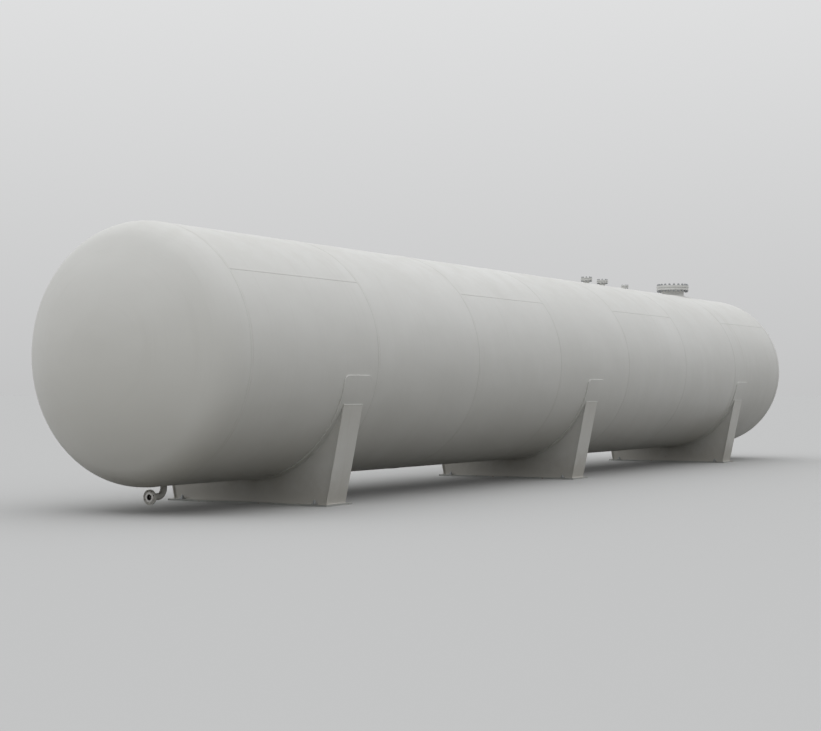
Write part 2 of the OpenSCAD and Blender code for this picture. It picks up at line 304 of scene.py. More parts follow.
def join(name, parts):
    """Joins parts into one piece with its place in its mesh."""
    select_only(*parts)
    bpy.ops.object.join()
    piece = bpy.context.object
    piece.name = piece.data.name = name
    bpy.ops.object.transform_apply(location=True, rotation=True, scale=True)
    bpy.ops.object.shade_smooth_by_angle(angle=SMOOTH_ANGLE)
    return piece


def fit(piece, finish):
    """Gives a new piece its finish and its body."""
    piece.data.materials.clear()
    piece.data.materials.append(finish)
    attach(piece, "root")


zinc_steel, tree, shader, position = new_finish("zinc_steel")
spangle = between(tree, clouds(tree, position, 90.0, detail=3), 0.35, 0.65)
rusty = place_effect(tree, rust, Position=position, Scale=30.0, Spread=0.45)["Mask"]
colour = lay_over(tree, ZINC_DULL, ZINC, spangle)
feed(shader.inputs["Base Color"], lay_over(tree, colour, RUST, reckon(tree, "MULTIPLY", rusty, 0.7)))
feed(shader.inputs["Metallic"], reckon(tree, "SUBTRACT", 0.85, reckon(tree, "MULTIPLY", rusty, 0.8)))
feed(shader.inputs["Roughness"], between(tree, spangle, 0.0, 1.0, start=0.55, end=0.42))
grain = reckon(tree, "MULTIPLY", clouds(tree, position, 400.0, detail=2), ZINC_GRAIN)
raise_surface(tree, shader, grain)

for number, saddle_x in zip(SADDLES, SADDLE_X):
    length, width, thickness = SQUARE_WASHER if saddle_x == 0 else SLOT_WASHER
    nut_z = FOOT_TOP + thickness
    stud_top = nut_z + NUT_H + STUD_SPARE
    parts = []
    for x in (saddle_x - ANCHOR_REACH_X, saddle_x + ANCHOR_REACH_X):
        for y in (-ANCHOR_REACH_Y, ANCHOR_REACH_Y):
            parts += [
                plate_washer(x, y, FOOT_TOP, length, width, thickness),
                hexagon_nut(x, y, nut_z, NUT_WIDTH, NUT_H),
                chamfered_stud(x, y, STUD_FOOT, stud_top, STUD_D),
            ]
    fit(join("saddle_%d_anchors" % number, parts), zinc_steel)


# Saddles
# Webs, leaning side plates and ribs of 12 and 16 mm plate, welded to a box that is open at the top,
# and sprayed with the same white enamel as the tank. Rain splashes the lowest part.

ENAMEL = (0.765, 0.768, 0.752, 1)
ENAMEL_DULL = (0.725, 0.727, 0.708, 1)
ENAMEL_GRAIN = 0.00004
SPLASHES = (0.42, 0.395, 0.35, 1)
# The colour of rain dirt in the streaks, also used for the painted shade beside the ring seams.
RAIN_DIRT_AND_SEAM_SHADE = (0.47, 0.455, 0.415, 1)
OLD_DUST = (0.58, 0.565, 0.525, 1)
LAP_SCALES = (1.7, 0.12, 0.12)
RUN_SCALES = (13.0, 0.55, 0.42)
THIN_RUN_SCALES = (42.0, 0.9, 0.7)
SPLASH_LOW, SPLASH_HIGH, SPLASH_RAGGED = -0.2, 0.35, 0.5
FOOT_RUST_LOW, FOOT_RUST_HIGH = 0.03, 0.2


def drawn_clouds(tree, position, scales, detail, roughness):
    """Cloudy noise with a scale of its own along each axis."""
    drawn = tree.nodes.new("ShaderNodeVectorMath")
    drawn.operation = "MULTIPLY"
    feed(drawn.inputs[0], position)
    feed(drawn.inputs[1], scales)
    return clouds(tree, drawn.outputs[0], 1.0, detail, roughness)


def spray_white(tree, position, **marks):
    """The white enamel, with the amounts of its streaks, splashes and dust."""
    return place_effect(tree, enamel, Position=position, Upward=facing_up(tree), **marks)


enamel, wanted, given = new_effect(
    "white_enamel",
    [("Position", "Vector"), ("Upward", "Float")]
    + [("Streaks", "Float"), ("Splash", "Float"), ("Dust", "Float")],
    [("Colour", "Color"), ("Roughness", "Float"), ("Height", "Float")],
)
position = wanted.outputs["Position"]
chalked = between(enamel, clouds(enamel, position, 0.42, detail=5, roughness=0.55), 0.34, 0.66)
laps = between(enamel, drawn_clouds(enamel, position, LAP_SCALES, detail=2, roughness=0.5), 0.3, 0.7)

runs = drawn_clouds(enamel, position, RUN_SCALES, detail=4, roughness=0.62)
thin_runs = drawn_clouds(enamel, position, THIN_RUN_SCALES, detail=3, roughness=0.6)
runs = reckon(enamel, "MULTIPLY", between(enamel, runs, 0.53, 0.78), 0.6)
thin_runs = reckon(enamel, "MULTIPLY", between(enamel, thin_runs, 0.55, 0.8), 0.4)
streaked = reckon(enamel, "MULTIPLY", reckon(enamel, "ADD", runs, thin_runs), wanted.outputs["Streaks"])

ragged = clouds(enamel, position, 5.0, detail=5, roughness=0.65)
ragged = reckon(enamel, "MULTIPLY", ragged, SPLASH_RAGGED)
reach = reckon(enamel, "SUBTRACT", split(enamel, position)["Z"], ragged)
splashed = between(enamel, reach, SPLASH_LOW, SPLASH_HIGH, start=1.0, end=0.0)
splashed = reckon(enamel, "MULTIPLY", splashed, wanted.outputs["Splash"])
dusted = place_effect(
    enamel, dust, Position=position, Upward=wanted.outputs["Upward"], Amount=wanted.outputs["Dust"]
)["Mask"]

colour = lay_over(enamel, ENAMEL_DULL, ENAMEL, chalked)
colour = lay_over(enamel, colour, ENAMEL_DULL, reckon(enamel, "MULTIPLY", laps, 0.5))
colour = lay_over(enamel, colour, RAIN_DIRT_AND_SEAM_SHADE, streaked)
colour = lay_over(enamel, colour, OLD_DUST, dusted)
feed(given.inputs["Colour"], lay_over(enamel, colour, SPLASHES, splashed))
clean = between(enamel, chalked, 0.0, 1.0, start=0.44, end=0.36)
dirt = reckon(enamel, "ADD", reckon(enamel, "ADD", splashed, dusted), streaked)
feed(given.inputs["Roughness"], reckon(enamel, "ADD", clean, reckon(enamel, "MULTIPLY", dirt, 0.35)))
grain = reckon(enamel, "MULTIPLY", clouds(enamel, position, 130.0, detail=2), ENAMEL_GRAIN)
feed(given.inputs["Height"], grain)

saddle_enamel, tree, shader, position = new_finish("saddle_enamel")
white = spray_white(tree, position, Streaks=0.25, Splash=0.6, Dust=0.5)
rusty = place_effect(tree, rust, Position=position, Scale=11.0, Spread=0.35)["Mask"]
height = split(tree, position)["Z"]
low_down = between(tree, height, FOOT_RUST_LOW, FOOT_RUST_HIGH, start=1.0, end=0.0)
stained = reckon(tree, "MULTIPLY", reckon(tree, "MULTIPLY", rusty, 0.55), low_down)
settled = clouds(tree, position, 1.3, detail=4, roughness=0.6)
settled = between(tree, settled, 0.3, 0.7, start=0.22, end=0.5)
colour = lay_over(tree, white["Colour"], OLD_DUST, settled)
feed(shader.inputs["Base Color"], lay_over(tree, colour, RUST, stained))
feed(shader.inputs["Roughness"], reckon(tree, "ADD", white["Roughness"], 0.06))
raise_surface(tree, shader, white["Height"])

for number in SADDLES:
    for part in ("webs", "side_plates", "ribs"):
        paint(nodes["saddle_%d_%s" % (number, part)], saddle_enamel)


# Saddle welds
# Hand-laid fillet beads with legs of 9 mm, painted over, where the webs and side plates stand on
# the foot, where they meet each other, and where they carry the wear pad.

AXIS_Z = 2.060
PAD_R = 1.7346
FOOT_Y = 1.325
WEB_FACE, WEB_TOP = 0.215, 1.3125
SIDE_EDGE, SIDE_TOP = 0.240, 1.3925
SIDE_T, SIDE_LEAN = 0.016, math.radians(11.85)
BEAD_R, BEAD_OFF = 0.007, 0.002
BEAD_RIPPLE = 0.0016
BEAD_SMOOTH_ANGLE = math.radians(60)
ARC_STEPS = 48
LINE_MERGE, BEAD_MERGE = 0.0005, 0.0002


def draw_line(points, closed=False):
    """A chain of edges, drawn from one vertex by extruding it from point to point."""
    line = start_from(bpy.ops.mesh.primitive_plane_add, size=0.001, location=points[0])
    bpy.ops.object.transform_apply(location=True, rotation=False, scale=False)
    bpy.ops.object.mode_set(mode="EDIT")
    bpy.ops.mesh.select_mode(type="VERT")
    bpy.ops.mesh.select_all(action="SELECT")
    bpy.ops.mesh.merge(type="CENTER")
    following = points[1:] + points[:1] if closed else points[1:]
    for last, here in zip(points, following):
        bpy.ops.mesh.extrude_vertices_move(TRANSFORM_OT_translate={"value": Vector(here) - Vector(last)})
    bpy.ops.mesh.select_all(action="SELECT")
    bpy.ops.mesh.remove_doubles(threshold=LINE_MERGE)
    bpy.ops.object.mode_set(mode="OBJECT")
    return line


def close_mesh(merge_distance):
    """Leaves edit mode with doubled vertices merged and every face turned outwards."""
    bpy.ops.mesh.select_all(action="SELECT")
    bpy.ops.mesh.remove_doubles(threshold=merge_distance)
    bpy.ops.mesh.normals_make_consistent(inside=False)
    bpy.ops.object.mode_set(mode="OBJECT")


def lay_bead(name, lines, radius):
    """Joins lines and swells them to round weld beads with closed ends."""
    select_only(*lines)
    bpy.ops.object.join()
    bpy.ops.object.convert(target="CURVE")
    bead = bpy.context.object
    bead.data.bevel_depth = radius
    bead.data.bevel_resolution = 2
    bead.data.use_fill_caps = True
    bpy.ops.object.convert(target="MESH")
    bead = bpy.context.object
    bead.name = bead.data.name = name
    bpy.ops.object.mode_set(mode="EDIT")
    close_mesh(BEAD_MERGE)
    bpy.ops.object.shade_smooth_by_angle(angle=BEAD_SMOOTH_ANGLE)
    return bead


def inner_face_y(z):
    """How far out the inner face of a leaning side plate is at a height."""
    return FOOT_Y - SIDE_T / math.cos(SIDE_LEAN) + (z - FOOT_TOP) * math.tan(SIDE_LEAN)


weld_enamel, tree, shader, position = new_finish("weld_enamel")
white = spray_white(tree, position, Streaks=0.3, Splash=0.5, Dust=0.5)
rusty = place_effect(tree, rust, Position=position, Scale=6.0, Spread=0.3)["Mask"]
stained = reckon(tree, "MULTIPLY", rusty, 0.3)
feed(shader.inputs["Base Color"], lay_over(tree, white["Colour"], RUST, stained))
feed(shader.inputs["Roughness"], white["Roughness"])
ripples = reckon(tree, "MULTIPLY", clouds(tree, position, 85.0, detail=3), BEAD_RIPPLE)
raise_surface(tree, shader, ripples)

foot_z, horn_z = FOOT_TOP + BEAD_OFF, SIDE_TOP + BEAD_OFF
foot_end = FOOT_Y - SIDE_T
foot_reach = FOOT_Y + BEAD_OFF
horn_reach = math.sqrt(PAD_R ** 2 - (AXIS_Z - SIDE_TOP) ** 2) + BEAD_R
arc_r = PAD_R + BEAD_OFF
swing = math.acos((AXIS_Z - WEB_TOP) / PAD_R)
arc = [-swing + 2 * swing * k / ARC_STEPS for k in range(ARC_STEPS + 1)]

for number, saddle_x in zip(SADDLES, SADDLE_X):
    web_places = [saddle_x + side * (WEB_FACE + BEAD_OFF) for side in (-1, 1)]
    left, right = saddle_x - SIDE_EDGE, saddle_x + SIDE_EDGE
    lines = []
    for x in web_places:
        lines.append(draw_line([(x, -foot_end, foot_z), (x, foot_end, foot_z)]))
        lines.append(draw_line([(x, arc_r * math.sin(a), AXIS_Z - arc_r * math.cos(a)) for a in arc]))
    for side in (-1, 1):
        foot_y, horn_y = side * foot_reach, side * horn_reach
        lines.append(draw_line([(left, foot_y, foot_z), (right, foot_y, foot_z)]))
        lines.append(draw_line([(left, horn_y, horn_z), (right, horn_y, horn_z)]))
        for x in web_places:
            heights = (FOOT_TOP, WEB_TOP)
            lines.append(draw_line([(x, side * (inner_face_y(z) - BEAD_OFF), z) for z in heights]))
    fit(lay_bead("saddle_%d_welds" % number, lines, BEAD_R), weld_enamel)


# Shell
# Seven rings, each rolled from one 20 mm plate 3 m wide. The plates pull a little at the seams and
# the broad faces are never quite true. The whole is sprayed with white enamel in upright passes.

RINGS = 7
SEAM_FIRST, SEAM_PITCH = -10.5, 3.0
SEAM_PULL, PULL_WIDTH = -0.0024, 0.22
WAVE_SCALES, WAVE_HEIGHT = (0.9, 0.7, 0.7), 0.030
DENT_SCALE, DENT_HEIGHT = 3.4, 0.0030
VAPOUR_X = (3.36, 4.16)
GAUGE_X = 5.36
MANWAY_X = 8.16

# Rain runs down from each fitting on top: its place, half the width of its track, and how strong.
RAIN_TRACKS = (
    (VAPOUR_X[0], 0.10, 0.75),
    (VAPOUR_X[1], 0.10, 0.75),
    (GAUGE_X, 0.08, 0.6),
    (MANWAY_X, 0.40, 1.0),
)
TRACK_FADE = 0.12
TRACK_LOW, TRACK_HIGH = 1.3, 3.3
STREAK_LOW, STREAK_HIGH = 0.9, 3.4
# How far from a ring seam the painted shade and grime stay full, and where they have faded out.
SHADE_AND_GRIME_NEAR, SHADE_AND_GRIME_FAR = 0.012, 0.05
RAMP_LENGTH = 24.0

tank_enamel, tree, shader, position = new_finish("tank_enamel")
place = split(tree, position)
from_seam = reckon(tree, "DIVIDE", reckon(tree, "SUBTRACT", place["X"], SEAM_FIRST), SEAM_PITCH)
from_seam = reckon(tree, "MULTIPLY", reckon(tree, "PINGPONG", from_seam, 0.5), SEAM_PITCH)

broad = drawn_clouds(tree, position, WAVE_SCALES, detail=2, roughness=0.4)
broad = reckon(tree, "MULTIPLY", broad, WAVE_HEIGHT)
small = clouds(tree, position, DENT_SCALE, detail=2, roughness=0.4)
small = reckon(tree, "MULTIPLY", small, DENT_HEIGHT)
pulled = between(tree, from_seam, 0.0, PULL_WIDTH, start=1.0, end=0.0)
pulled = reckon(tree, "MULTIPLY", pulled, SEAM_PULL)
waves = reckon(tree, "ADD", reckon(tree, "ADD", broad, small), pulled)

tracks = tree.nodes.new("ShaderNodeValToRGB")
feed(tracks.inputs[0], reckon(tree, "ADD", reckon(tree, "DIVIDE", place["X"], RAMP_LENGTH), 0.5))
tracks.color_ramp.interpolation = "EASE"
for stop in tracks.color_ramp.elements:
    stop.color = (0, 0, 0, 1)
for x, half, strength in RAIN_TRACKS:
    outer = half + TRACK_FADE
    for stop_x, grey in ((x - outer, 0), (x - half, strength), (x + half, strength), (x + outer, 0)):
        stop = tracks.color_ramp.elements.new(stop_x / RAMP_LENGTH + 0.5)
        stop.color = (grey, grey, grey, 1)
fading = between(tree, place["Z"], TRACK_LOW, TRACK_HIGH, start=0.0, end=0.5)
dripping = reckon(tree, "MULTIPLY", tracks.outputs["Color"], fading)
streaks = between(tree, place["Z"], STREAK_LOW, STREAK_HIGH, start=0.05, end=0.17)
streaks = reckon(tree, "ADD", streaks, dripping)

white = spray_white(tree, position, Streaks=streaks, Splash=0.45, Dust=0.3)
# Painted shade, patchy like grime, darkens the enamel towards the dirt colour in a narrow band beside each
# ring seam.
beside_seam = between(tree, from_seam, SHADE_AND_GRIME_NEAR, SHADE_AND_GRIME_FAR, start=1.0, end=0.0)
patchy = clouds(tree, position, 3.2, detail=4, roughness=0.6)
patchy = between(tree, patchy, 0.35, 0.7, start=0.05, end=0.34)
seam_shade_and_grime = reckon(tree, "MULTIPLY", beside_seam, patchy)
feed(shader.inputs["Base Color"], lay_over(tree, white["Colour"], RAIN_DIRT_AND_SEAM_SHADE, seam_shade_and_grime))
feed(shader.inputs["Roughness"], white["Roughness"])
raise_surface(tree, shader, reckon(tree, "ADD", waves, white["Height"]))

for number in range(RINGS):
    paint(nodes["shell_course_%d" % (number + 1)], tank_enamel)


# Wear pads
# A 14 mm plate is rolled to the belly of the shell over each saddle and welded all round its edge,
# so that the saddle never marks the shell. The corners are round.

SHELL_R = 1.720
PAD_HALF, PAD_CORNER = 0.330, 0.080
PAD_TURN = math.radians(81)
PAD_BEAD_R, PAD_BEAD_UP, PAD_BEAD_OUT = 0.0095, 0.006, 0.003
LONG_EDGE = 1.0


def edge_length(piece, edge):
    """How long an edge of a piece is."""
    first, last = (piece.data.vertices[index].co for index in edge.vertices)
    return (last - first).length


edge_r = SHELL_R + PAD_BEAD_UP
half_width = PAD_HALF + PAD_BEAD_OUT
half_length = edge_r * PAD_TURN + PAD_BEAD_OUT

for number, saddle_x in zip(SADDLES, SADDLE_X):
    paint(nodes["saddle_%d_wear_pad" % number], tank_enamel)
    rim = start_from(bpy.ops.mesh.primitive_plane_add, size=2, location=(0, 0, 0))
    bpy.ops.transform.resize(value=(half_width, half_length, 1))
    bpy.ops.object.transform_apply(location=False, rotation=False, scale=True)
    pick(rim, lambda vertex: True, "vertices")
    bpy.ops.mesh.bevel(offset=PAD_CORNER, segments=8, affect="VERTICES")
    bpy.ops.mesh.select_all(action="SELECT")
    bpy.ops.mesh.delete(type="ONLY_FACE")
    bpy.ops.object.mode_set(mode="OBJECT")
    pick(rim, lambda edge: edge_length(rim, edge) > LONG_EDGE, "edges")
    bpy.ops.mesh.subdivide(number_cuts=110)
    bpy.ops.object.mode_set(mode="OBJECT")
    for vertex in rim.data.vertices:
        turn = vertex.co.y / edge_r
        vertex.co = (saddle_x + vertex.co.x, edge_r * math.sin(turn), AXIS_Z - edge_r * math.cos(turn))
    fit(lay_bead("saddle_%d_pad_weld" % number, [rim], PAD_BEAD_R), weld_enamel)


# Ends
# Each end is pressed from one 20 mm plate, shallow in the middle and tight at the rim, and has a
# short straight collar that is welded to the shell. They carry the same enamel.

END_SEAM = -SEAM_FIRST
COLLAR, END_T = 0.040, 0.020
KNUCKLE_R = 0.530
KNUCKLE_OUT = SHELL_R - KNUCKLE_R
CROWN_R, CROWN_BACK = 2.752, 1.8766
MEET = math.atan2(CROWN_BACK, KNUCKLE_OUT)
KNUCKLE_STEPS, CROWN_STEPS, SPIN_STEPS = 20, 24, 288

collar_end = END_SEAM + COLLAR
outline = [(END_SEAM, 0.0, AXIS_Z + SHELL_R), (collar_end, 0.0, AXIS_Z + SHELL_R)]
for k in range(1, KNUCKLE_STEPS + 1):
    turn = MEET * k / KNUCKLE_STEPS
    knuckle_z = AXIS_Z + KNUCKLE_OUT + KNUCKLE_R * math.cos(turn)
    outline.append((collar_end + KNUCKLE_R * math.sin(turn), 0.0, knuckle_z))
for k in range(1, CROWN_STEPS + 1):
    turn = MEET + (math.pi / 2 - MEET) * k / CROWN_STEPS
    crown_x = collar_end - CROWN_BACK + CROWN_R * math.sin(turn)
    outline.append((crown_x, 0.0, AXIS_Z + CROWN_R * math.cos(turn)))

for name, side in (("head_near", -1), ("head_far", 1)):
    end = draw_line([(side * x, y, z) for x, y, z in outline])
    bpy.ops.object.mode_set(mode="EDIT")
    bpy.ops.mesh.select_all(action="SELECT")
    bpy.ops.mesh.spin(steps=SPIN_STEPS, angle=2 * math.pi, center=(0, 0, AXIS_Z), axis=(1, 0, 0))
    close_mesh(LINE_MERGE)
    wall = end.modifiers.new("wall", "SOLIDIFY")
    wall.thickness, wall.offset = END_T, -1
    bpy.ops.object.modifier_apply(modifier="wall")
    end = join("dished_" + name, [end])
    fit(end, tank_enamel)
    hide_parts(name)


# Shell welds
# Machine-laid butt welds, 28 mm wide and 3.5 mm proud: a ring between every two plates and at both
# ends, and one straight seam along each ring, high on alternate sides.

WELD_HALF, WELD_PROUD = 0.014, 0.0035
WELD_SIDES = 12
WELD_WANDER = 0.0004
RING_STEPS = 240
SEAM_ANGLE = math.radians(38)

for number in range(RINGS + 1):
    ring_x = SEAM_FIRST + number * SEAM_PITCH
    ring = start_from(bpy.ops.mesh.primitive_circle_add, vertices=WELD_SIDES, radius=1, location=(0, 0, 0))
    bpy.ops.transform.resize(value=(WELD_HALF, WELD_PROUD, 1))
    bpy.ops.object.transform_apply(location=False, rotation=False, scale=True)
    bpy.ops.object.mode_set(mode="EDIT")
    bpy.ops.mesh.select_all(action="SELECT")
    bpy.ops.transform.translate(value=(ring_x, SHELL_R, AXIS_Z))
    bpy.ops.mesh.spin(steps=RING_STEPS, angle=2 * math.pi, center=(ring_x, 0, AXIS_Z), axis=(1, 0, 0))
    close_mesh(LINE_MERGE)
    fit(join("shell_ring_weld_%d" % (number + 1), [ring]), weld_enamel)

for number in range(RINGS):
    side = -1 if number % 2 == 0 else 1
    middle = SEAM_FIRST + (number + 0.5) * SEAM_PITCH
    outward = Vector((0, side * math.cos(SEAM_ANGLE), math.sin(SEAM_ANGLE)))
    aside = Vector((0, -outward.z, outward.y))
    seam = start_from(
        bpy.ops.mesh.primitive_cylinder_add,
        vertices=WELD_SIDES, radius=1, depth=SEAM_PITCH, location=(0, 0, 0),
    )
    bpy.ops.transform.resize(value=(WELD_PROUD, WELD_HALF, 1))
    bpy.ops.object.transform_apply(location=False, rotation=False, scale=True)
    pick(seam, lambda edge: edge_length(seam, edge) > LONG_EDGE, "edges")
    bpy.ops.mesh.subdivide(number_cuts=24)
    bpy.ops.mesh.select_all(action="SELECT")
    bpy.ops.transform.vertex_random(offset=WELD_WANDER, seed=number)
    bpy.ops.object.mode_set(mode="OBJECT")
    for vertex in seam.data.vertices:
        rise, shift, length = vertex.co
        vertex.co = (middle + length, 0, AXIS_Z)
        vertex.co += outward * (SHELL_R + rise) + aside * shift
    bpy.ops.object.mode_set(mode="EDIT")
    bpy.ops.mesh.select_all(action="SELECT")
    bpy.ops.mesh.normals_make_consistent(inside=False)
    bpy.ops.object.mode_set(mode="OBJECT")
    fit(join("shell_long_weld_%d" % (number + 1), [seam]), weld_enamel)


# Manway and top nozzles
# Forged necks and flanges closed with blind covers, each over a fibre gasket. The necks are
# welded into the shell, the manway through a doubler plate.

GASKET_DARK = (0.030, 0.032, 0.034, 1)
GASKET_WORN = (0.075, 0.078, 0.080, 1)
FIBRE_SCALES, FIBRE_HEIGHT = (60, 60, 400), 0.0003
DOUBLER_R, DOUBLER_TOP = 0.430, 1.7363
NECK_R, NECK_HUB_Z = 0.254, 3.855
VAPOUR_R, VAPOUR_HUB_Z = 0.05715, 3.814
GAUGE_R = 0.03015
DOUBLER_BEAD_R, NECK_BEAD_R, HUB_BEAD_R, NOZZLE_BEAD_R = 0.010, 0.011, 0.0075, 0.006
DOUBLER_BEAD_UP, NECK_BEAD_UP, MANWAY_BEAD_OUT = 0.004, 0.003, 0.003
NECK_HUB_SINK, NOZZLE_HUB_SINK = 0.004, 0.003
PIPE_STEPS = 72


def ring_on_shell(x, radius, surface_r, up=1):
    """A closed line round an upright pipe where it meets a surface round the tank's axis."""
    points = []
    for k in range(PIPE_STEPS):
        turn = 2 * math.pi * k / PIPE_STEPS
        y = radius * math.sin(turn)
        points.append((x + radius * math.cos(turn), y, AXIS_Z + up * math.sqrt(surface_r ** 2 - y ** 2)))
    return draw_line(points, closed=True)


def level_ring(x, radius, z):
    """A closed level line round an upright pipe."""
    turns = [2 * math.pi * k / PIPE_STEPS for k in range(PIPE_STEPS)]
    return draw_line([(x + radius * math.cos(a), radius * math.sin(a), z) for a in turns], closed=True)


gasket_fibre, tree, shader, position = new_finish("gasket_fibre")
threads = drawn_clouds(tree, position, FIBRE_SCALES, detail=3, roughness=0.6)
feed(shader.inputs["Base Color"], lay_over(tree, GASKET_DARK, GASKET_WORN, threads))
feed(shader.inputs["Roughness"], between(tree, threads, 0.3, 0.7, start=0.75, end=0.95))
raise_surface(tree, shader, reckon(tree, "MULTIPLY", threads, FIBRE_HEIGHT))

for name in ("manway_doubler", "manway_neck", "manway_cover"):
    paint(nodes[name], tank_enamel)
for fitting in ("vapour_nozzle_1", "vapour_nozzle_2", "gauge_nozzle"):
    paint(nodes[fitting], tank_enamel)
    paint(nodes[fitting + "_cover"], tank_enamel)
for fitting in ("manway", "vapour_nozzle_1", "vapour_nozzle_2", "gauge_nozzle"):
    paint(nodes[fitting + "_gasket"], gasket_fibre)

line = ring_on_shell(MANWAY_X, DOUBLER_R + MANWAY_BEAD_OUT, SHELL_R + DOUBLER_BEAD_UP)
fit(lay_bead("manway_doubler_weld", [line], DOUBLER_BEAD_R), weld_enamel)
line = ring_on_shell(MANWAY_X, NECK_R + MANWAY_BEAD_OUT, DOUBLER_TOP + NECK_BEAD_UP)
fit(lay_bead("manway_neck_weld", [line], NECK_BEAD_R), weld_enamel)
line = level_ring(MANWAY_X, NECK_R - NECK_HUB_SINK, NECK_HUB_Z)
fit(lay_bead("manway_hub_weld", [line], HUB_BEAD_R), weld_enamel)

# The gauge nozzle is too short to have a weld of its own under the flange.
for fitting, x, radius, hub_z in (
    ("vapour_nozzle_1", VAPOUR_X[0], VAPOUR_R, VAPOUR_HUB_Z),
    ("vapour_nozzle_2", VAPOUR_X[1], VAPOUR_R, VAPOUR_HUB_Z),
    ("gauge_nozzle", GAUGE_X, GAUGE_R, None),
):
    lines = [ring_on_shell(x, radius + BEAD_OFF, SHELL_R + BEAD_OFF)]
    if hub_z is not None:
        lines.append(level_ring(x, radius - NOZZLE_HUB_SINK, hub_z))
    fit(lay_bead(fitting + "_weld", lines, NOZZLE_BEAD_R), weld_enamel)


# Cover bolts
# Galvanised studs with a washer and a nut at both ends clamp each cover: twenty of 33 mm on the
# manway, eight of 20 mm on each vapour nozzle and four of 16 mm on the gauge nozzle.

# Shares of a stud's diameter, and of a washer's thickness
WASHER_T_SHARE, WASHER_D_SHARE = 0.13, 1.85
NUT_H_SHARE, NUT_WIDTH_SHARE = 0.8, 1.5
SPARE_SHARE = 0.35
RIM_SHARE = 0.2


def round_washer(x, y, z, diameter, thickness):
    """A pressed washer lying at z, with rounded rims."""
    washer = start_from(
        bpy.ops.mesh.primitive_cylinder_add,
        vertices=28, radius=diameter / 2, depth=thickness, location=(x, y, z + thickness / 2),
    )
    round_rims(washer, thickness * RIM_SHARE)
    return washer


for name, x, circle_r, count, stud_d, back_z, cover_z in (
    ("manway", MANWAY_X, 0.330, 20, 0.033, 3.915, 4.018),
    ("vapour_nozzle_1", VAPOUR_X[0], 0.095, 8, 0.020, 3.853, 3.906),
    ("vapour_nozzle_2", VAPOUR_X[1], 0.095, 8, 0.020, 3.853, 3.906),
    ("gauge_nozzle", GAUGE_X, 0.0625, 4, 0.016, 3.821, 3.866),
):
    washer_t, washer_d = stud_d * WASHER_T_SHARE, stud_d * WASHER_D_SHARE
    nut_h, nut_width = stud_d * NUT_H_SHARE, stud_d * NUT_WIDTH_SHARE
    spare = stud_d * SPARE_SHARE
    upper = cover_z + washer_t
    lower = back_z - washer_t - nut_h
    model = join("stud", [
        chamfered_stud(x, circle_r, lower - spare, upper + nut_h + spare, stud_d),
        round_washer(x, circle_r, cover_z, washer_d, washer_t),
        round_washer(x, circle_r, back_z - washer_t, washer_d, washer_t),
        hexagon_nut(x, circle_r, upper, nut_width, nut_h),
        hexagon_nut(x, circle_r, lower, nut_width, nut_h),
    ])
    studs = []
    for k in range(count):
        turn = 2 * math.pi * (k + 0.5) / count
        from_model = (circle_r * math.cos(turn), circle_r * math.sin(turn) - circle_r, 0)
        select_only(model)
        bpy.ops.object.duplicate()
        studs.append(bpy.context.object)
        bpy.ops.object.mode_set(mode="EDIT")
        bpy.ops.mesh.select_all(action="SELECT")
        bpy.ops.transform.translate(value=from_model)
        bpy.ops.object.mode_set(mode="OBJECT")
    bpy.data.objects.remove(model)
    fit(join(name + "_studs", studs), zinc_steel)


# Bottom outlet
# A pipe drops from the belly, turns along the tank and ends in an open flange near the ground.
# The flange's raised face is turned and left bare, and the bore is black with mill scale.

OUTLET_X, OUTLET_R, OUTLET_Z = -10.1, 0.04445, 0.202
ELBOW_TOP, ELBOW_END, FLANGE_HUB_X = 0.316, -10.214, -10.334
FACE_X, FACE_R, FACE_SKIN, BORE_R = -10.392, 0.066, 0.0015, 0.0389
GROOVE_PITCH, GROOVE_HEIGHT = 0.0008, 0.00006
OUTLET_BEAD_R, OUTLET_BEAD_DOWN = 0.0048, 0.001
OUTLET_STEPS = 48
TURNED = (0.55, 0.54, 0.52, 1)
SCALE_BLACK = (0.045, 0.040, 0.036, 1)


def upright_ring(x, radius, z):
    """A closed line round a pipe that lies along the tank."""
    turns = [2 * math.pi * k / OUTLET_STEPS for k in range(OUTLET_STEPS)]
    return draw_line([(x, radius * math.cos(a), z + radius * math.sin(a)) for a in turns], closed=True)


outlet_finish, tree, shader, position = new_finish("outlet_flange_finish")
place = split(tree, position)
rise = reckon(tree, "SUBTRACT", place["Z"], OUTLET_Z)
from_axis = reckon(tree, "ADD", reckon(tree, "POWER", place["Y"], 2), reckon(tree, "POWER", rise, 2))
from_axis = reckon(tree, "SQRT", from_axis)
in_front = reckon(tree, "LESS_THAN", place["X"], FACE_X + FACE_SKIN)
at_face = reckon(tree, "MULTIPLY", in_front, reckon(tree, "LESS_THAN", from_axis, FACE_R))
in_bore = reckon(tree, "LESS_THAN", from_axis, BORE_R)
white = spray_white(tree, position, Streaks=0.2, Splash=0.6, Dust=0.5)
rusty = place_effect(tree, rust, Position=position, Scale=40.0, Spread=0.6)["Mask"]
steel = lay_over(tree, TURNED, RUST, reckon(tree, "MULTIPLY", rusty, 0.7))
colour = lay_over(tree, white["Colour"], steel, at_face)
feed(shader.inputs["Base Color"], lay_over(tree, colour, SCALE_BLACK, in_bore))
bare = reckon(tree, "MULTIPLY", at_face, 0.9)
feed(shader.inputs["Metallic"], reckon(tree, "MULTIPLY", bare, reckon(tree, "SUBTRACT", 1.0, rusty)))
feed(shader.inputs["Roughness"], between(tree, at_face, 0.0, 1.0, start=0.5, end=0.34))
grooves = reckon(tree, "SINE", reckon(tree, "MULTIPLY", from_axis, 2 * math.pi / GROOVE_PITCH))
grooves = reckon(tree, "MULTIPLY", grooves, GROOVE_HEIGHT)
raise_surface(tree, shader, reckon(tree, "MULTIPLY", grooves, at_face))

paint(nodes["outlet_pipe"], tank_enamel)
paint(nodes["outlet_flange"], outlet_finish)

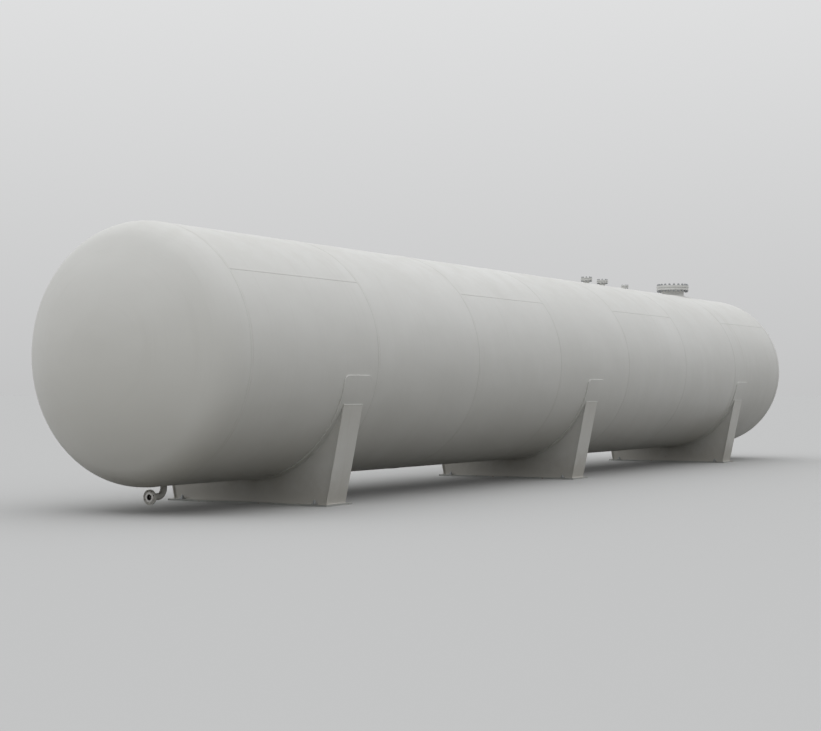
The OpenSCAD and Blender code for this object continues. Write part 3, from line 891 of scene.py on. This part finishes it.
butt_r = OUTLET_R - BEAD_OFF
lines = [
    ring_on_shell(OUTLET_X, OUTLET_R + BEAD_OFF, SHELL_R + OUTLET_BEAD_DOWN, up=-1),
    level_ring(OUTLET_X, butt_r, ELBOW_TOP),
    upright_ring(ELBOW_END, butt_r, OUTLET_Z),
    upright_ring(FLANGE_HUB_X, butt_r, OUTLET_Z),
]
fit(lay_bead("outlet_welds", lines, OUTLET_BEAD_R), weld_enamel)


# Surroundings
# A plain pale floor under a soft grey sky, brightest overhead and a little brighter behind the tank.
# The floor throws more light up in front of the near end than beside and under the tank. The camera
# stands where the photo was taken from, at eye height beyond the near end, and takes in the whole tank.

FLOOR_SIZE = 1600
FLOOR_SEEN = (0.553, 0.555, 0.554, 1)
FLOOR_BOUNCE = (0.130, 0.124, 0.104, 1)
FLOOR_OPEN = (0.28, 0.269, 0.235, 1)
OPEN_TO, BOUNCE_FROM = -13.0, -11.0
ZENITH = 9 / 7
SKY_LEAN_X, SKY_LEAN_Y = 0.20, 0.24
SKY_SEEN_LEAN = 0.285
SKY_TINT = {"Red": 0.995, "Green": 1.0, "Blue": 1.005}
CAMERA_PLACE = (-26.52, -13.43, 1.55)
HEADING, PITCH = math.radians(30.5), math.radians(1.0)
SENSOR, LENS = 36, 70
CLIP_NEAR, CLIP_FAR = 0.1, 2000


def seen_directly(tree):
    """1 for what is seen or mirrored, and 0 for light that falls on things."""
    rays = tree.nodes.new("ShaderNodeLightPath").outputs
    mirrored = reckon(tree, "MAXIMUM", rays["Is Glossy Ray"], rays["Is Transmission Ray"])
    return reckon(tree, "MAXIMUM", rays["Is Camera Ray"], mirrored)


scene = bpy.context.scene
scene.view_settings.view_transform = "Standard"

floor = start_from(bpy.ops.mesh.primitive_plane_add, size=FLOOR_SIZE, location=(0, 0, 0))
floor.name = "floor"
floor_finish = bpy.data.materials.new("pale_floor")
floor_finish.use_nodes = True
tree = floor_finish.node_tree
tree.nodes.remove(tree.nodes["Principled BSDF"])
matt = tree.nodes.new("ShaderNodeBsdfDiffuse")
place = split(tree, tree.nodes.new("ShaderNodeTexCoord").outputs["Object"])
bounce = lay_over(tree, FLOOR_OPEN, FLOOR_BOUNCE, between(tree, place["X"], OPEN_TO, BOUNCE_FROM))
feed(matt.inputs["Color"], lay_over(tree, bounce, FLOOR_SEEN, seen_directly(tree)))
feed(tree.nodes["Material Output"].inputs["Surface"], matt.outputs[0])
floor.data.materials.append(floor_finish)

# An overcast sky is three times as bright overhead as at the horizon. This one lights the tank more
# from +X and +Y than from the other sides, and looks the same all round.
world = bpy.data.worlds.new("grey_sky")
scene.world = world
world.use_nodes = True
tree = world.node_tree
background = tree.nodes["Background"]
direction = split(tree, tree.nodes.new("ShaderNodeTexCoord").outputs["Generated"])
climb = reckon(tree, "MAXIMUM", direction["Z"], 0.0)
glow = reckon(tree, "ADD", reckon(tree, "MULTIPLY", climb, 2.0), 1.0)
glow = reckon(tree, "MULTIPLY", glow, ZENITH / 3)
lean_x = reckon(tree, "MULTIPLY", direction["X"], SKY_LEAN_X)
lean_y = reckon(tree, "MULTIPLY", direction["Y"], SKY_LEAN_Y)
seen = seen_directly(tree)
unseen = reckon(tree, "SUBTRACT", 1.0, seen)
tilt = reckon(tree, "MULTIPLY", reckon(tree, "ADD", lean_x, lean_y), unseen)
tilt = reckon(tree, "ADD", tilt, reckon(tree, "MULTIPLY", seen, SKY_SEEN_LEAN))
low = reckon(tree, "POWER", reckon(tree, "SUBTRACT", 1.0, climb), 2.0)
tilt = reckon(tree, "MULTIPLY", tilt, low)
glow = reckon(tree, "MULTIPLY", glow, reckon(tree, "ADD", tilt, 1.0))
sky = tree.nodes.new("ShaderNodeCombineColor")
for channel, share in SKY_TINT.items():
    feed(sky.inputs[channel], reckon(tree, "MULTIPLY", glow, share))
feed(background.inputs["Color"], sky.outputs[0])
background.inputs["Strength"].default_value = 1.0

level = math.cos(PITCH)
look = Vector((math.cos(HEADING) * level, math.sin(HEADING) * level, math.sin(PITCH)))
camera = bpy.data.objects.new("camera", bpy.data.cameras.new("camera"))
scene.collection.objects.link(camera)
camera.location = CAMERA_PLACE
camera.rotation_euler = look.to_track_quat("-Z", "Y").to_euler()
camera.data.sensor_width = SENSOR
camera.data.lens = LENS
camera.data.clip_start, camera.data.clip_end = CLIP_NEAR, CLIP_FAR
scene.camera = camera
